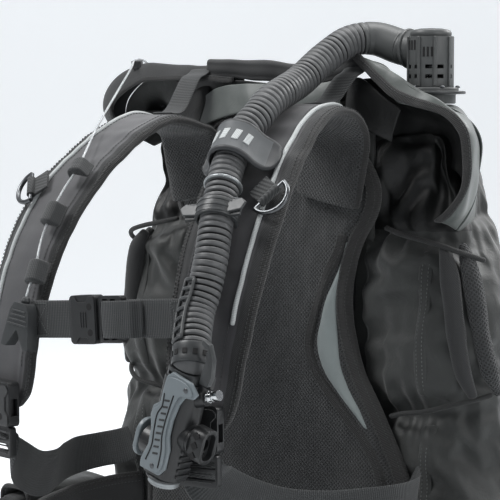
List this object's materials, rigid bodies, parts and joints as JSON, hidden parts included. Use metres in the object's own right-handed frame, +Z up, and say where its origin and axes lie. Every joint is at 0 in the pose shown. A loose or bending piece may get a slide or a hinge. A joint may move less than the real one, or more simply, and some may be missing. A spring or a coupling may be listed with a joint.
{
  "type": "buoyancy compensator vest",
  "caption": "Back-inflation diving vest with padded harness, corrugated inflator hose, power inflator, side-release buckles, weight pockets and a cam band for a tank.",
  "frame": {"origin": "centre of the tank band, on the tank's axis", "axes": "+Z up along the tank's axis, -Y to the wearer's front, +X to the wearer's left"},
  "size_m": [0.5806, 0.5616, 0.6567],
  "materials": {
    "cell_fabric": "coated woven nylon",
    "bladder_film": "welded film",
    "plate": "moulded",
    "steel": "satin",
    "tank_rubber": "matte",
    "mesh_pad": "spacer mesh",
    "strap_fabric": "padded fabric",
    "webbing": "woven webbing",
    "buckle": "moulded",
    "ring": "dark coated",
    "keeper_rubber": "satin",
    "hose_rubber": "corrugated",
    "valve_plastic": "moulded",
    "cover_plastic": "painted grey",
    "chrome_part": "polished",
    "cable_steel": "braided",
    "cord": "braided elastic"
  },
  "bodies": {
    "harness": {"air_cell": "cell_fabric", "bladder": "bladder_film", "backplate": "plate", "plate_screws": "steel", "tank_pads": "tank_rubber", "back_pad": "mesh_pad", "shoulder_strap_left": "strap_fabric", "shoulder_strap_right": "strap_fabric", "load_lifter_left": "webbing", "load_lifter_right": "webbing", "sternum_web_left": "webbing", "sternum_web_right": "webbing", "sternum_socket": "buckle", "shoulder_socket_left": "buckle", "shoulder_socket_right": "buckle", "lower_web_left": "webbing", "lower_web_right": "webbing", "d_ring_tabs": "webbing", "hose_band": "keeper_rubber", "hose_clip": "valve_plastic", "inflator_hose": "hose_rubber", "hose_elbow": "valve_plastic", "elbow_flange": "valve_plastic", "elbow_spring": "steel", "inflator_collar": "valve_plastic", "inflator_body": "valve_plastic", "inflator_cover": "cover_plastic", "mouthpiece": "valve_plastic", "qd_nipple": "chrome_part", "dump_cable": "cable_steel", "cable_guides": "webbing", "dump_valve": "valve_plastic", "waist_wings": "strap_fabric", "waist_web_left": "webbing", "waist_web_right": "webbing", "waist_socket": "buckle", "weight_pocket_left": "strap_fabric", "weight_pocket_right": "strap_fabric", "tank_band": "webbing", "cam_frame": "buckle", "bungees": "cord", "rear_dump": "valve_plastic"},
    "sternum_plug": {"sternum_plug": "buckle"},
    "shoulder_plug_left": {"shoulder_plug_left": "buckle"},
    "shoulder_plug_right": {"shoulder_plug_right": "buckle"},
    "waist_plug": {"waist_plug": "buckle"},
    "d_ring_left": {"d_ring_left": "ring"},
    "d_ring_right": {"d_ring_right": "ring"},
    "elbow_disc": {"elbow_disc": "valve_plastic"},
    "inflate_button": {"inflate_button": "valve_plastic", "inflate_spring": "steel"},
    "deflate_button": {"deflate_button": "valve_plastic", "deflate_spring": "steel"},
    "dump_knob": {"dump_knob": "valve_plastic"},
    "dump_plunger": {"dump_plunger": "valve_plastic"},
    "weight_pouch_left": {"weight_pouch_left": "strap_fabric"},
    "weight_pouch_right": {"weight_pouch_right": "strap_fabric"},
    "cam_lever": {"cam_lever": "buckle"},
    "hook_lever": {"hook_lever": "cover_plastic"},
    "rear_dump_ball": {"rear_dump_ball": "valve_plastic"}
  },
  "joints": [
    {"name": "sternum_release", "type": "slide", "parent": "harness", "child": "sternum_plug", "axis": [0.9976, 0, 0.0698], "range_m": [0, 0.034]},
    {"name": "shoulder_release_left", "type": "slide", "parent": "harness", "child": "shoulder_plug_left", "axis": [0, 0, -1], "range_m": [0, 0.044]},
    {"name": "shoulder_release_right", "type": "slide", "parent": "harness", "child": "shoulder_plug_right", "axis": [0, 0, -1], "range_m": [0, 0.044]},
    {"name": "waist_release", "type": "slide", "parent": "harness", "child": "waist_plug", "axis": [1, 0, 0], "range_m": [0, 0.044]},
    {"name": "d_ring_left_swing", "type": "hinge", "parent": "harness", "child": "d_ring_left", "pos_m": [0.163, -0.3255, 0.1485], "axis": [-0.4874, -0.539, -0.687], "range_deg": [0, 70]},
    {"name": "d_ring_right_swing", "type": "hinge", "parent": "harness", "child": "d_ring_right", "pos_m": [-0.163, -0.3255, 0.1485], "axis": [-0.4874, 0.539, 0.687], "range_deg": [0, 70]},
    {"name": "elbow_disc_lift", "type": "slide", "parent": "harness", "child": "elbow_disc", "axis": [0, 0, 1], "range_m": [0, 0.004], "stiffness_N_per_m": 300, "springref_m": -0.002, "deforming": ["elbow_spring"]},
    {"name": "inflate_press", "type": "slide", "parent": "harness", "child": "inflate_button", "axis": [0.9563, 0, -0.2924], "range_m": [0, 0.003], "stiffness_N_per_m": 400, "springref_m": -0.002},
    {"name": "deflate_press", "type": "slide", "parent": "harness", "child": "deflate_button", "axis": [0.2924, 0, 0.9563], "range_m": [0, 0.003], "stiffness_N_per_m": 400, "springref_m": -0.002},
    {"name": "dump_pull", "type": "slide", "parent": "harness", "child": "dump_knob", "axis": [-0.1388, -0.0698, -0.9879], "range_m": [0, 0.02], "stiffness_N_per_m": 60, "springref_m": -0.03},
    {"name": "dump_plunger_lift", "type": "slide", "parent": "harness", "child": "dump_plunger", "axis": [0, 0, 1], "range_m": [0, 0.006]},
    {"name": "weight_pull_left", "type": "slide", "parent": "harness", "child": "weight_pouch_left", "axis": [0.0698, -0.9976, 0], "range_m": [0, 0.12]},
    {"name": "weight_pull_right", "type": "slide", "parent": "harness", "child": "weight_pouch_right", "axis": [-0.0698, -0.9976, 0], "range_m": [0, 0.12]},
    {"name": "cam_lever_turn", "type": "hinge", "parent": "harness", "child": "cam_lever", "pos_m": [-0.026, 0.104, 0], "axis": [0, 0, 1], "range_deg": [0, 120]},
    {"name": "hook_lever_turn", "type": "hinge", "parent": "harness", "child": "hook_lever", "pos_m": [0.18186, -0.4395, -0.01787], "axis": [0, 1, 0], "range_deg": [0, 20]},
    {"name": "rear_dump_pull", "type": "slide", "parent": "harness", "child": "rear_dump_ball", "axis": [0, 1, 0], "range_m": [0, 0.012], "stiffness_N_per_m": 100, "springref_m": -0.01}
  ],
  "couplings": [
    {"joint": "dump_plunger_lift", "follows": "dump_pull", "ratio": 0.3}
  ]
}
